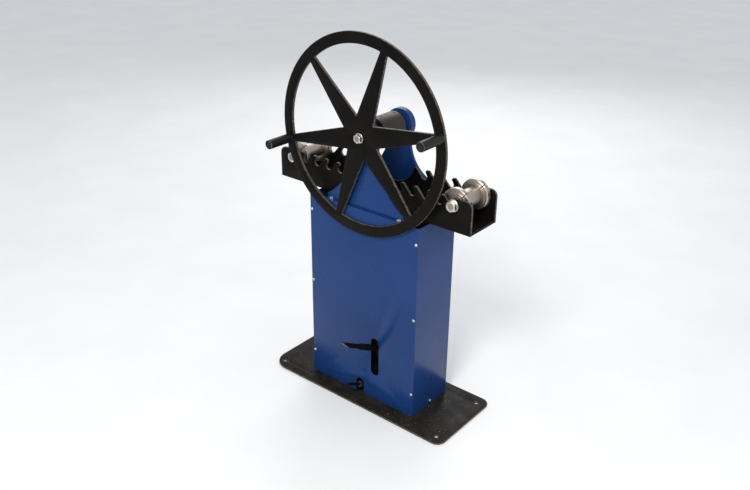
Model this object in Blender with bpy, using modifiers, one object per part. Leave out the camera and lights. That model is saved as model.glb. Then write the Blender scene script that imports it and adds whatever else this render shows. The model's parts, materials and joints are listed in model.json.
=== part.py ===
"""Manual three-roll profile bender: a handwheel turns the centre roller, and a foot-pumped
bottle jack lifts a beam with two side rollers towards it.

Metres, +Z up, +Y towards the back. The origin is on the floor, under the middle of the case.
"""

import math

import bmesh
import bpy
from mathutils import Matrix, Vector

# ---------------------------------------------------------------- driving dimensions
GAP = 0.0003                    # clearance kept between pieces that touch
SHEET = 0.002                   # case sheet
PLATE = 0.008                   # beam plate

BASE_HALF_WIDTH = 0.361
BASE_FRONT = -0.152
BASE_BACK = 0.139
BASE_THICKNESS = 0.006
BASE_LEFT_CORNER = 0.062
BASE_RIGHT_CORNER = 0.030
ANCHOR_RADIUS = 0.0065
ANCHOR_X = 0.327
ANCHOR_Y = (-0.120, 0.105)

CASE_HALF_WIDTH = 0.212
CASE_HALF_DEPTH = 0.0927
CASE_TOP = 0.666
CASE_FLANGE = 0.024
CASE_FLOOR = BASE_THICKNESS + GAP
LEVER_X = 0.056                 # the pump lever's slot in the front panel
LEVER_SLOT_HALF = 0.016
LEVER_SLOT_Z = (0.098, 0.236)
VALVE_X = -0.005                # the release valve's arch in the front panel
VALVE_ARCH_HALF = 0.016
VALVE_ARCH_TOP = 0.060

SHAFT_Z = 0.8955                # the centre roller's axis, along Y
SHAFT_RADIUS = 0.015
SHAFT_NOSE_RADIUS = 0.012

UPRIGHT = 0.010                 # upright plate
FRONT_FACE = -0.0824            # outer faces of the two uprights
REAR_FACE = 0.0904
HOUSING_FACE = 0.102
FRONT_HALF_WIDTH = 0.147
REAR_HALF_WIDTH = 0.141
FRONT_HEAD_RADIUS = 0.053
REAR_HEAD_RADIUS = 0.047
TIE_BOLT_X = 0.1325
TIE_BOLT_Z = 0.6635
FLANGE = 0.003                  # thickness of a bearing's flange

WHEEL_FRONT = -0.1045           # front face of the handwheel
WHEEL_PLATE = 0.009
WHEEL_RADIUS = 0.302
RIM_INNER_RADIUS = 0.2685
NOTCH_RADIUS = 0.064            # where neighbouring spokes part
SPOKE_HALF_AT_RIM = 0.0115
SPOKES = 6
WHEEL_TURN = math.radians(12.2)
HANDLE_RADIUS = 0.288
GRIP_RADIUS = 0.0142
GRIP_LENGTH = 0.0915

ROLLER_RADIUS = 0.043
ROLLER_Y = (-0.037, 0.060)

BEAM_HALF_LENGTH = 0.366
BEAM_BOTTOM = 0.678
BEAM_TOP = 0.778
BEAM_FRONT = -0.062
BEAM_BACK = 0.071
BEAM_CORNER = 0.020
BEAM_MIDDLE_Y = (BEAM_FRONT + BEAM_BACK) / 2
DIP_Z = 0.795
DIP_RADIUS = 0.078
SEAT_X = (0.113, 0.161, 0.209, 0.257, 0.305)
SEAT_Z = 0.757
SEAT_RADIUS = 0.0105
RAMP_ANGLE = math.radians(49)

AXLE_X = SEAT_X[-1]
AXLE_RADIUS = 0.010
TUBE_RADIUS = 0.026
RING_RADIUS = 0.046
RING_WIDTH = 0.020
RING_OFFSET = 0.0345            # from the roller's middle to a ring's inner face
SLIT_ANGLE = math.radians(51)   # where the clamp rings are split

JACK_Y = BEAM_MIDDLE_Y
JACK_FLOOR = 0.0363
TANK_TOP = 0.205
SADDLE_TOP = 0.250
PIVOT_Y = -0.005
PIVOT_Z = 0.1525
LEVER_SLOPE = math.radians(29.5)
PLUNGER_Y = -0.035
PLUNGER_PIN_Z = PIVOT_Z + (PIVOT_Y - PLUNGER_Y) * math.tan(LEVER_SLOPE)
VALVE_ROOT = Vector((VALVE_X, -0.085, 0.032))
VALVE_SLOPE = math.radians(27.9)

FINE = 48                       # segments round a large circle
MEDIUM = 32
COARSE = 20

# ---------------------------------------------------------------- scene and materials
for old in list(bpy.data.objects):
    bpy.data.objects.remove(old, do_unlink=True)

parts = bpy.data.collections.new("profile_bender")
cutters = bpy.data.collections.new("cutters")
cutters.hide_render = True
bpy.context.scene.collection.children.link(parts)
bpy.context.scene.collection.children.link(cutters)


def material(name, colour, roughness, metallic):
    made = bpy.data.materials.new(name)
    made.use_nodes = True
    shader = made.node_tree.nodes["Principled BSDF"]
    shader.inputs["Base Color"].default_value = (*colour, 1.0)
    shader.inputs["Roughness"].default_value = roughness
    shader.inputs["Metallic"].default_value = metallic
    made.diffuse_color = (*colour, 1.0)
    return made


BLUE = material("blue_powder_coat", (0.020, 0.062, 0.230), 0.45, 0.0)
BLACK = material("black_paint", (0.008, 0.008, 0.008), 0.50, 0.0)
STEEL = material("machined_steel", (0.36, 0.33, 0.30), 0.35, 1.0)
DARK_STEEL = material("dark_steel", (0.085, 0.075, 0.068), 0.50, 0.8)
ZINC = material("zinc_plate", (0.66, 0.65, 0.62), 0.30, 1.0)
BRONZE = material("bearing_bronze", (0.45, 0.27, 0.10), 0.40, 1.0)
ENAMEL = material("jack_enamel", (0.012, 0.012, 0.013), 0.35, 0.0)
GRIP_BLACK = material("grip_black", (0.010, 0.010, 0.011), 0.55, 0.0)


# ---------------------------------------------------------------- building blocks
def moved_origin(obj, origin):
    """Puts the object's origin on the given point and keeps its shape where it is."""
    shift = Vector(origin) - obj.location
    inverse = obj.matrix_basis.to_3x3().inverted()
    obj.data.transform(Matrix.Translation(-(inverse @ shift)))
    obj.location = origin


def shaded(mesh, angle=30):
    """Smooth shading, with the edges above the angle kept sharp."""
    mesh.shade_smooth()
    mesh.set_sharp_from_angle(angle=math.radians(angle))


def box(name, low, high, paint, group=parts):
    mesh = bpy.data.meshes.new(name)
    cube = bmesh.new()
    bmesh.ops.create_cube(cube, size=1.0)
    low, high = Vector(low), Vector(high)
    bmesh.ops.scale(cube, vec=high - low, verts=cube.verts)
    bmesh.ops.translate(cube, vec=(low + high) / 2, verts=cube.verts)
    cube.to_mesh(mesh)
    cube.free()
    return placed(name, mesh, paint, group)


def placed(name, mesh, paint, group=parts):
    obj = bpy.data.objects.new(name, mesh)
    group.objects.link(obj)
    if paint is not None:
        mesh.materials.append(paint)
    if group is cutters:
        obj.hide_render = True
        obj.display_type = "WIRE"
    return obj


def as_mesh(source, name, paint, group=parts):
    """The evaluated curve or modified mesh as a welded mesh object; the source is removed."""
    bpy.context.view_layer.update()
    graph = bpy.context.evaluated_depsgraph_get()
    mesh = bpy.data.meshes.new_from_object(source.evaluated_get(graph))
    mesh.transform(source.matrix_world)
    mesh.materials.clear()
    bpy.data.objects.remove(source, do_unlink=True)
    welded = bmesh.new()
    welded.from_mesh(mesh)
    bmesh.ops.remove_doubles(welded, verts=welded.verts, dist=1e-6)
    bmesh.ops.recalc_face_normals(welded, faces=welded.faces)
    welded.to_mesh(mesh)
    welded.free()
    shaded(mesh)
    return placed(name, mesh, paint, group)


# An outline's own X and Y lie along these world directions, and its extrusion along the third.
PLANES = {
    "XZ": Matrix(((1, 0, 0), (0, 0, -1), (0, 1, 0))),
    "XY": Matrix.Identity(3),
    "YZ": Matrix(((0, 0, 1), (1, 0, 0), (0, 1, 0))),
}


def plate(name, loops, plane, span, paint, group=parts):
    """A flat plate: the first loop is its outline and the others are holes.

    The plane names the world axes of the loops' two coordinates, and span is the plate's
    extent along the third axis.
    """
    curve = bpy.data.curves.new(name, "CURVE")
    curve.dimensions = "2D"
    curve.fill_mode = "BOTH"
    curve.extrude = (span[1] - span[0]) / 2
    for loop in loops:
        spline = curve.splines.new("POLY")
        spline.points.add(len(loop) - 1)
        for point, (u, v) in zip(spline.points, loop):
            point.co = (u, v, 0.0, 1.0)
        spline.use_cyclic_u = True
    obj = bpy.data.objects.new(name + "_outline", curve)
    parts.objects.link(obj)
    middle = (span[0] + span[1]) / 2
    offset = {"XZ": (0, middle, 0), "XY": (0, 0, middle), "YZ": (middle, 0, 0)}[plane]
    obj.matrix_world = Matrix.Translation(offset) @ PLANES[plane].to_4x4()
    return as_mesh(obj, name, paint, group)


def turned(name, profile, place, axis, paint, steps=MEDIUM, closed=False, group=parts):
    """A turned piece: the profile's (radius, height) points run down its outer side.

    The heights are measured along the axis from the place. A closed profile is a ring.
    """
    mesh = bpy.data.meshes.new(name + "_profile")
    count = len(profile)
    edges = [(i, i + 1) for i in range(count - 1)]
    if closed:
        edges.append((count - 1, 0))
    mesh.from_pydata([(radius, 0.0, height) for radius, height in profile], edges, [])
    obj = bpy.data.objects.new(name + "_profile", mesh)
    parts.objects.link(obj)
    screw = obj.modifiers.new("turn", "SCREW")
    screw.steps = steps
    screw.render_steps = steps
    screw.use_merge_vertices = True
    screw.merge_threshold = 1e-6
    rotation = Vector((0, 0, 1)).rotation_difference(Vector(axis).normalized())
    obj.matrix_world = Matrix.Translation(place) @ rotation.to_matrix().to_4x4()
    return as_mesh(obj, name, paint, group)


def combined(target, tools, operation):
    for tool in tools:
        modifier = target.modifiers.new(operation.lower(), "BOOLEAN")
        modifier.operation = operation
        modifier.object = tool
        modifier.solver = "EXACT"


def cut(target, *tools):
    combined(target, tools, "DIFFERENCE")


def joined(target, *tools):
    combined(target, tools, "UNION")


def mirrored_loop(loop):
    return [(-u, v) for u, v in reversed(loop)]


def arc(centre, radius, start, end, steps):
    """Points on a circle from one angle to another, both ends included, in degrees."""
    points = []
    for i in range(steps + 1):
        angle = math.radians(start + (end - start) * i / steps)
        points.append((centre[0] + radius * math.cos(angle), centre[1] + radius * math.sin(angle)))
    return points


def circle(centre, radius, steps=COARSE):
    return arc(centre, radius, 0, 360, steps)[:-1]


def rounded_rectangle(low, high, radius, steps=8, left_radius=None):
    """A rectangle with round corners; the left-hand pair may have a radius of its own."""
    (u0, v0), (u1, v1) = low, high
    left = radius if left_radius is None else left_radius
    corners = (
        ((u1 - radius, v1 - radius), radius, 0),
        ((u0 + left, v1 - left), left, 90),
        ((u0 + left, v0 + left), left, 180),
        ((u1 - radius, v0 + radius), radius, 270),
    )
    points = []
    for centre, corner, start in corners:
        points += arc(centre, corner, start, start + 90, steps)
    return points


def hexagon(centre, across_flats, turn=0.0):
    radius = across_flats / math.sqrt(3)
    return [
        (
            centre[0] + radius * math.cos(math.radians(turn + 60 * i)),
            centre[1] + radius * math.sin(math.radians(turn + 60 * i)),
        )
        for i in range(6)
    ]


def hex_bolt(name, x, z, head_face, direction, across_flats, head, shank_radius, shank, turn=30):
    """A hexagon bolt along Y. Its head stands on head_face and its shank runs the other way."""
    head_span = sorted((head_face, head_face + direction * head))
    bolt = plate(name, [hexagon((x, z), across_flats, turn)], "XZ", head_span, ZINC)
    profile = [(0, head / 2), (shank_radius, head / 2), (shank_radius, -shank), (0, -shank)]
    place, along = (x, head_face, z), (0, direction, 0)
    stem = turned(f"{name}_shank", profile, place, along, None, COARSE, group=cutters)
    joined(bolt, stem)
    moved_origin(bolt, (x, head_face - direction * shank, z))


# ---------------------------------------------------------------- base and case
def base_plate():
    outline = rounded_rectangle(
        (-BASE_HALF_WIDTH, BASE_FRONT),
        (BASE_HALF_WIDTH, BASE_BACK),
        BASE_RIGHT_CORNER,
        left_radius=BASE_LEFT_CORNER,
    )
    holes = [circle((side * ANCHOR_X, y), ANCHOR_RADIUS) for side in (-1, 1) for y in ANCHOR_Y]
    plate("base_plate", [outline, *holes], "XY", (0.0, BASE_THICKNESS), BLACK)


def top_flange(front):
    """The front panel's fold towards the upright, notched round the tie bolts' heads."""
    back, reach, notch = FRONT_FACE - 0.0004, CASE_HALF_WIDTH - CASE_FLANGE - 0.0005, 0.0095
    notch_front = -CASE_HALF_DEPTH + SHEET + 0.0002
    half = [
        (reach, front),
        (reach, back),
        (TIE_BOLT_X + notch, back),
        (TIE_BOLT_X + notch, notch_front),
        (TIE_BOLT_X - notch, notch_front),
        (TIE_BOLT_X - notch, back),
    ]
    top = CASE_TOP - 0.0005
    outline = half + mirrored_loop(half)
    return plate("panel_top_flange", [outline], "XY", (top - SHEET, top), None, cutters)


def case():
    arch = arc((VALVE_X, VALVE_ARCH_TOP - VALVE_ARCH_HALF), VALVE_ARCH_HALF, 180, 0, 12)
    front = [
        (CASE_HALF_WIDTH, CASE_FLOOR),
        (CASE_HALF_WIDTH, CASE_TOP),
        (-CASE_HALF_WIDTH, CASE_TOP),
        (-CASE_HALF_WIDTH, CASE_FLOOR),
        (VALVE_X - VALVE_ARCH_HALF, CASE_FLOOR),
        *arch,
        (VALVE_X + VALVE_ARCH_HALF, CASE_FLOOR),
    ]
    slot = rounded_rectangle(
        (LEVER_X - LEVER_SLOT_HALF, LEVER_SLOT_Z[0]),
        (LEVER_X + LEVER_SLOT_HALF, LEVER_SLOT_Z[1]),
        LEVER_SLOT_HALF - 0.0002,
    )
    outer, inner = CASE_HALF_DEPTH, CASE_HALF_DEPTH - SHEET
    panel = plate("front_panel", [front, slot], "XZ", (-outer, -inner), BLUE)
    joined(panel, top_flange((-outer - inner) / 2))
    back = [
        (CASE_HALF_WIDTH, CASE_FLOOR),
        (CASE_HALF_WIDTH, CASE_TOP),
        (-CASE_HALF_WIDTH, CASE_TOP),
        (-CASE_HALF_WIDTH, CASE_FLOOR),
    ]
    plate("back_panel", [back], "XZ", (inner, outer), BLUE)
    reach = inner - GAP
    web, lip = CASE_HALF_WIDTH - SHEET, CASE_HALF_WIDTH - CASE_FLANGE
    channel = [
        (CASE_HALF_WIDTH, -reach),
        (CASE_HALF_WIDTH, reach),
        (lip, reach),
        (lip, reach - SHEET),
        (web, reach - SHEET),
        (web, SHEET - reach),
        (lip, SHEET - reach),
        (lip, -reach),
    ]
    span = (CASE_FLOOR, CASE_TOP)
    plate("right_side_panel", [channel], "XY", span, BLUE)
    plate("left_side_panel", [mirrored_loop(channel)], "XY", span, BLUE)


# ---------------------------------------------------------------- uprights and their ties
def upright_outline(half_width, neck_half, flare_radius, flare_z, head_radius):
    """A foot that sweeps up through two flares to a narrow neck with a round head."""
    centre = neck_half + flare_radius
    flare_end = math.degrees(math.acos((half_width - centre) / flare_radius))
    flare = arc((centre, flare_z), flare_radius, -flare_end, -180, 12)
    rise = math.degrees(math.asin((SHAFT_Z - flare_z) / (2 * head_radius))) - 3
    head = arc((0, SHAFT_Z), head_radius, -rise, 180 + rise, 24)
    foot = ((-half_width, CASE_FLOOR), (half_width, CASE_FLOOR))
    return [foot[1], *flare, *head, *mirrored_loop(flare), foot[0]]


def uprights():
    bore = circle((0, SHAFT_Z), 0.0193, MEDIUM)
    bolt_holes = [circle((side * TIE_BOLT_X, TIE_BOLT_Z), 0.0043, 16) for side in (-1, 1)]
    jack_window = [
        (-0.030, CASE_FLOOR),
        *arc((-0.010, 0.240), 0.020, 180, 90, 6),
        *arc((0.065, 0.240), 0.020, 90, 0, 6),
        (0.085, CASE_FLOOR),
    ]
    front = upright_outline(FRONT_HALF_WIDTH, 0.0484, 0.1986, 0.853, FRONT_HEAD_RADIUS)
    span = (FRONT_FACE, FRONT_FACE + UPRIGHT)
    plate("front_upright", [front + jack_window, bore, *bolt_holes], "XZ", span, BLUE)

    rear = upright_outline(REAR_HALF_WIDTH, 0.043, 0.120, 0.850, REAR_HEAD_RADIUS)
    plate("rear_upright", [rear, bore], "XZ", (REAR_FACE - UPRIGHT, REAR_FACE), BLUE)
    housing = [circle((0, SHAFT_Z), REAR_HEAD_RADIUS, FINE), bore]
    plate("rear_bearing_housing", housing, "XZ", (REAR_FACE + GAP, HOUSING_FACE), BLUE)


def bearings():
    """Flanged bronze bushes that carry the drive shaft."""
    bore, body, flange = SHAFT_RADIUS + GAP, 0.019, 0.024
    for name, face, direction, length in (
        ("front_bearing", FRONT_FACE, -1, UPRIGHT + GAP),
        ("rear_bearing", HOUSING_FACE, 1, HOUSING_FACE - REAR_FACE + UPRIGHT),
    ):
        ring = [
            (bore, FLANGE + GAP),
            (flange, FLANGE + GAP),
            (flange, GAP),
            (body, GAP),
            (body, -length),
            (bore, -length),
        ]
        turned(name, ring, (0, face, SHAFT_Z), (0, direction, 0), BRONZE, MEDIUM, closed=True)


def ties():
    """Angles across the uprights, and the collars that guide the lift post."""
    leg, foot, low, high = 0.005, 0.034, 0.640, 0.680
    front = FRONT_FACE + UPRIGHT + GAP
    rear = REAR_FACE - UPRIGHT - GAP
    threads = [
        turned(
            f"{name}_tie_thread",
            [(0, 0.004), (0.0043, 0.004), (0.0043, -0.020), (0, -0.020)],
            (side * TIE_BOLT_X, front, TIE_BOLT_Z),
            (0, -1, 0),
            None,
            16,
            group=cutters,
        )
        for name, side in (("left", -1), ("right", 1))
    ]
    for name, face, inward in (("front", front, 1), ("rear", rear, -1)):
        section = [
            (face, low),
            (face + inward * foot, low),
            (face + inward * foot, low + leg),
            (face + inward * leg, low + leg),
            (face + inward * leg, high),
            (face, high),
        ]
        half = REAR_HALF_WIDTH - 0.002
        made = plate(f"{name}_tie_angle", [section], "YZ", (-half, half), BLUE)
        if name == "front":
            cut(made, *threads)

    post = rounded_rectangle((-0.0406, JACK_Y - 0.0406), (0.0406, JACK_Y + 0.0406), 0.002, 2)
    for name, z, inset in (("upper", low + leg + GAP, leg + GAP), ("lower", 0.340, 0)):
        near, far = front + inset, rear - inset
        sheet = [(0.110, near), (0.110, far), (-0.110, far), (-0.110, near)]
        plate(f"{name}_guide_collar", [sheet, post], "XY", (z, z + 0.010), DARK_STEEL)
    for name, side in (("left", -1), ("right", 1)):
        hex_bolt(
            f"{name}_tie_bolt", side * TIE_BOLT_X, TIE_BOLT_Z, FRONT_FACE - 0.0015, -1,
            0.013, 0.0053, 0.004, UPRIGHT + leg, turn=0,
        )


# ---------------------------------------------------------------- handwheel and its shaft
def wheel_point(radius, degrees):
    angle = math.radians(degrees) + WHEEL_TURN
    return (radius * math.cos(angle), SHAFT_Z + radius * math.sin(angle))


def keyed_bore(radius, half_key, key_top):
    """A round bore with a keyway at its top."""
    side = math.degrees(math.acos(half_key / radius))
    bore = arc((0, SHAFT_Z), radius, 180 - side, 360 + side, COARSE)
    return bore + [(half_key, SHAFT_Z + key_top), (-half_key, SHAFT_Z + key_top)]


def handwheel():
    back = WHEEL_FRONT + WHEEL_PLATE
    rim = [wheel_point(WHEEL_RADIUS, 360 * i / 96) for i in range(96)]
    spread = 180 / SPOKES - math.degrees(math.asin(SPOKE_HALF_AT_RIM / RIM_INNER_RADIUS))
    windows = []
    for i in range(SPOKES):
        middle = 360 * (i + 0.5) / SPOKES
        edge = [
            wheel_point(RIM_INNER_RADIUS, middle - spread + 2 * spread * k / 12) for k in range(13)
        ]
        windows.append([wheel_point(NOTCH_RADIUS, middle), *edge])
    bore = keyed_bore(SHAFT_NOSE_RADIUS + GAP, 0.0028, 0.0148)
    pins = [circle(wheel_point(HANDLE_RADIUS, turn), 0.0063, 20) for turn in (0, 180)]
    wheel = plate("handwheel", [rim, *windows, bore, *pins], "XZ", (WHEEL_FRONT, back), BLACK)
    moved_origin(wheel, (0, WHEEL_FRONT, SHAFT_Z))
    boss = [circle((0, SHAFT_Z), 0.0275, MEDIUM), bore]
    hub = plate("wheel_hub", boss, "XZ", (back + GAP, FRONT_FACE - FLANGE - 2 * GAP), BLACK)
    moved_origin(hub, (0, back, SHAFT_Z))


def handles():
    """Two grips that turn on pins riveted into the rim."""
    back = WHEEL_FRONT + WHEEL_PLATE
    root = WHEEL_FRONT - GAP
    end = root - GRIP_LENGTH
    chamfer, bore, seat, seat_depth = 0.0015, 0.0064, 0.0095, 0.004
    rivet_head = 0.002              # it passes 1 mm in front of the case
    for name, turn in (("right", 0), ("left", 180)):
        x, z = wheel_point(HANDLE_RADIUS, turn)
        height = root - end
        grip = [
            (seat, height),
            (GRIP_RADIUS - chamfer, height),
            (GRIP_RADIUS, height - chamfer),
            (GRIP_RADIUS, chamfer),
            (GRIP_RADIUS - chamfer, 0),
            (bore, 0),
            (bore, height - seat_depth),
            (seat, height - seat_depth),
        ]
        made = turned(f"{name}_grip", grip, (x, root, z), (0, -1, 0), GRIP_BLACK, COARSE, closed=True)
        moved_origin(made, (x, root, z))
        top = height - 0.0005
        pin = [
            (0, top),
            (0.0088, top),
            (0.0088, height - seat_depth + GAP),
            (0.0060, height - seat_depth + GAP),
            (0.0060, root - back - GAP),
            (0.0090, root - back - GAP),
            (0.0090, root - back - rivet_head),
            (0, root - back - rivet_head),
        ]
        made = turned(f"{name}_handle_pin", pin, (x, root, z), (0, -1, 0), GRIP_BLACK, COARSE)
        moved_origin(made, (x, root, z))


def drive():
    nose, step, tail = WHEEL_FRONT + 0.0018, FRONT_FACE - FLANGE - GAP, 0.1130
    profile = [
        (0, tail),
        (SHAFT_RADIUS - 0.001, tail),
        (SHAFT_RADIUS, tail - 0.001),
        (SHAFT_RADIUS, step),
        (SHAFT_NOSE_RADIUS, step),
        (SHAFT_NOSE_RADIUS, nose),
        (0.0083, nose),
        (0.0083, nose + 0.034),
        (0, nose + 0.034),
    ]
    shaft = turned("drive_shaft", profile, (0, 0, SHAFT_Z), (0, 1, 0), DARK_STEEL, MEDIUM)
    keyway = box(
        "shaft_keyway",
        (-0.0028, nose - 0.002, SHAFT_Z + 0.0092),
        (0.0028, step - 0.002, SHAFT_Z + 0.020),
        None,
        cutters,
    )
    cut(shaft, keyway)
    moved_origin(shaft, (0, 0, SHAFT_Z))
    box(
        "shaft_key",
        (-0.0025, nose + 0.0010, SHAFT_Z + 0.0095),
        (0.0025, step - 0.0025, SHAFT_Z + 0.0145),
        DARK_STEEL,
    )
    washer_back = WHEEL_FRONT - GAP
    washer = [circle((0, SHAFT_Z), 0.015, COARSE), circle((0, SHAFT_Z), 0.0085, COARSE)]
    plate("hub_washer", washer, "XZ", (washer_back - 0.003, washer_back), ZINC)
    hex_bolt(
        "hub_bolt", 0, SHAFT_Z, washer_back - 0.003 - GAP, -1, 0.024, 0.010, 0.0080, 0.028
    )
    front, back = ROLLER_Y
    bore, lip, recess, chamfer = SHAFT_RADIUS + GAP, 0.034, 0.006, 0.001
    profile = [
        (bore, back),
        (ROLLER_RADIUS - chamfer, back),
        (ROLLER_RADIUS, back - chamfer),
        (ROLLER_RADIUS, front + chamfer),
        (ROLLER_RADIUS - chamfer, front),
        (lip, front),
        (lip, front + recess),
        (bore, front + recess),
    ]
    turned("centre_roller", profile, (0, 0, SHAFT_Z), (0, 1, 0), DARK_STEEL, FINE, closed=True)


# ---------------------------------------------------------------- lifting beam
def beam_top_edge():
    """The right-hand half of a beam plate's top edge, from the middle dip outwards."""
    dip_end = -math.degrees(math.asin((DIP_Z - BEAM_TOP) / DIP_RADIUS))
    points = arc((0, DIP_Z), DIP_RADIUS, -90, dip_end, 12)
    ramp_foot = 180 + 90 - math.degrees(RAMP_ANGLE)
    drop = BEAM_TOP - (SEAT_Z + SEAT_RADIUS * math.sin(math.radians(ramp_foot)))
    run = drop / math.tan(RAMP_ANGLE) - SEAT_RADIUS * math.cos(math.radians(ramp_foot))
    for x in SEAT_X:
        points.append((x - run, BEAM_TOP))
        points += arc((x, SEAT_Z), SEAT_RADIUS, ramp_foot, 395, 10)
        points += [(x + 0.0035, 0.7712), (x + 0.0038, 0.7745), (x + 0.0075, BEAM_TOP)]
    corner = (BEAM_HALF_LENGTH - BEAM_CORNER, BEAM_TOP - BEAM_CORNER)
    points += arc(corner, BEAM_CORNER, 90, 0, 6)
    return points


def beam():
    half = beam_top_edge() + [(BEAM_HALF_LENGTH, BEAM_BOTTOM)]
    outline = half + mirrored_loop(half)[:-1]
    plate("beam_front_plate", [outline], "XZ", (BEAM_FRONT, BEAM_FRONT + PLATE), BLACK)
    plate("beam_rear_plate", [outline], "XZ", (BEAM_BACK - PLATE, BEAM_BACK), BLACK)
    box(
        "beam_bottom_plate",
        (-BEAM_HALF_LENGTH, BEAM_FRONT + PLATE + GAP, BEAM_BOTTOM),
        (BEAM_HALF_LENGTH, BEAM_BACK - PLATE - GAP, BEAM_BOTTOM + PLATE),
        BLACK,
    )
    low, high, half, wall = SADDLE_TOP + GAP, BEAM_BOTTOM - GAP, 0.040, 0.005
    post = box("lift_post", (-half, JACK_Y - half, low), (half, JACK_Y + half, high), BLACK)
    inside = half - wall
    hollow = box(
        "lift_post_hollow",
        (-inside, JACK_Y - inside, low + 0.012),
        (inside, JACK_Y + inside, high + 0.010),
        None,
        cutters,
    )
    cut(post, hollow)


# ---------------------------------------------------------------- side rollers
def side_roller(name, side):
    x = side * AXLE_X
    middle = (x, BEAM_MIDDLE_Y, SEAT_Z)
    along = (0, 1, 0)
    inner = (BEAM_BACK - BEAM_FRONT) / 2 - PLATE
    bore = AXLE_RADIUS + GAP

    bush_end, flange = inner - 0.0005, 0.020
    flange_face = RING_OFFSET + RING_WIDTH + 0.0004
    bush = [
        (bore, bush_end),
        (flange, bush_end),
        (flange, flange_face),
        (0.0145, flange_face),
        (0.0145, -bush_end),
        (bore, -bush_end),
    ]
    turned(f"{name}_roller_bush", bush, middle, along, BRONZE, MEDIUM, closed=True)

    sleeve_end, step = RING_OFFSET + RING_WIDTH, 0.001
    sleeve = [
        (0.0148, sleeve_end),
        (TUBE_RADIUS - step, sleeve_end),
        (TUBE_RADIUS, sleeve_end - step),
        (TUBE_RADIUS, step - sleeve_end),
        (TUBE_RADIUS - step, -sleeve_end),
        (0.0148, -sleeve_end),
    ]
    turned(f"{name}_roller_sleeve", sleeve, middle, along, STEEL, FINE, closed=True)

    for place, direction in (("front", -1), ("rear", 1)):
        chamfer, groove, ring_bore = 0.0015, 0.036, TUBE_RADIUS + GAP
        ring = [
            (ring_bore, RING_WIDTH),
            (RING_RADIUS - chamfer, RING_WIDTH),
            (RING_RADIUS, RING_WIDTH - chamfer),
            (RING_RADIUS, 0.004),
            (RING_RADIUS - 0.003, 0.0015),
            (groove, 0.0015),
            (groove, 0),
            (ring_bore, 0),
        ]
        root = (x, BEAM_MIDDLE_Y + direction * RING_OFFSET, SEAT_Z)
        made = turned(
            f"{name}_{place}_ring", ring, root, (0, direction, 0), STEEL, FINE, closed=True
        )
        slit = box(
            f"{name}_{place}_slit",
            (0.015, -0.0012, -0.040),
            (0.060, 0.0012, 0.040),
            None,
            cutters,
        )
        slit.matrix_world = (
            Matrix.Translation(root)
            @ Matrix.Rotation(-SLIT_ANGLE, 4, "Y")
            @ Matrix.Rotation(math.pi / 2, 4, "X")
        )
        cut(made, slit)

    washer = 0.0030
    front_face = BEAM_FRONT - GAP
    rings = [circle((x, SEAT_Z), 0.0185, MEDIUM), circle((x, SEAT_Z), bore, COARSE)]
    plate(f"{name}_axle_washer", rings, "XZ", (front_face - washer, front_face), ZINC)
    under_head = front_face - washer - GAP
    rear_face = BEAM_BACK + GAP
    hex_bolt(
        f"{name}_axle_bolt", x, SEAT_Z, under_head, -1, 0.030, 0.0125, AXLE_RADIUS,
        rear_face + 0.020 - under_head,
    )
    nut = [hexagon((x, SEAT_Z), 0.030, 30), circle((x, SEAT_Z), bore, COARSE)]
    plate(f"{name}_axle_nut", nut, "XZ", (rear_face, rear_face + 0.016), ZINC)


# ---------------------------------------------------------------- bottle jack
def jack():
    block = rounded_rectangle((-0.060, -0.071), (0.078, 0.055), 0.012, 4)
    base = plate("jack_base", [block], "XY", (CASE_FLOOR, JACK_FLOOR - GAP), ENAMEL)
    up = (0, 0, 1)
    centre = (0, JACK_Y, 0)
    tank = [(0.037, TANK_TOP), (0.040, TANK_TOP), (0.040, JACK_FLOOR), (0.037, JACK_FLOOR)]
    turned("jack_tank", tank, centre, up, ENAMEL, MEDIUM, closed=True)
    barrel = [(0.0215, TANK_TOP), (0.027, TANK_TOP), (0.027, JACK_FLOOR), (0.0215, JACK_FLOOR)]
    turned("jack_cylinder", barrel, centre, up, STEEL, MEDIUM, closed=True)
    cap = [hexagon((0, JACK_Y), 0.074, 0), circle((0, JACK_Y), 0.0215, MEDIUM)]
    plate("jack_top_nut", cap, "XY", (TANK_TOP + GAP, 0.223), ENAMEL)
    ram_top, ram_foot, stem_foot = 0.228, 0.046, 0.190
    ram = [
        (0.0103, ram_top),
        (0.0202, ram_top),
        (0.0210, ram_top - 0.0008),
        (0.0210, ram_foot),
        (0, ram_foot),
        (0, stem_foot - 0.002),
        (0.0103, stem_foot - 0.002),
    ]
    turned("jack_ram", ram, centre, up, STEEL, MEDIUM, closed=True)
    saddle = [
        (0, SADDLE_TOP),
        (0.0200, SADDLE_TOP),
        (0.0200, 0.239),
        (0.0100, 0.239),
        (0.0100, stem_foot),
        (0, stem_foot),
    ]
    turned("jack_saddle", saddle, centre, up, DARK_STEEL, COARSE)
    release_valve(base)


def release_valve(base):
    """A valve screw that leans out of the jack's base, with a rod to turn it by foot."""
    out = Vector((0, -math.cos(VALVE_SLOPE), math.sin(VALVE_SLOPE)))
    head, head_end, inside, reach = 0.010, 0.012, 0.036, 0.079
    bore = turned(
        "release_valve_bore",
        [(0, 0.05), (0.0056, 0.05), (0.0056, -inside - 0.004), (0, -inside - 0.004)],
        VALVE_ROOT,
        out,
        None,
        COARSE,
        group=cutters,
    )
    cut(base, bore)
    valve = [
        (0, head_end),
        (head - 0.001, head_end),
        (head, head_end - 0.001),
        (head, -0.006),
        (0.0050, -0.006),
        (0.0050, -inside),
        (0, -inside),
    ]
    made = turned("release_valve", valve, VALVE_ROOT, out, DARK_STEEL, COARSE)
    moved_origin(made, VALVE_ROOT)
    root = head_end + GAP
    rod = [(0, reach), (0.0038, reach), (0.0048, reach - 0.001), (0.0048, root), (0, root)]
    made = turned("release_rod", rod, VALVE_ROOT, out, BLACK, COARSE)
    moved_origin(made, VALVE_ROOT)


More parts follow.
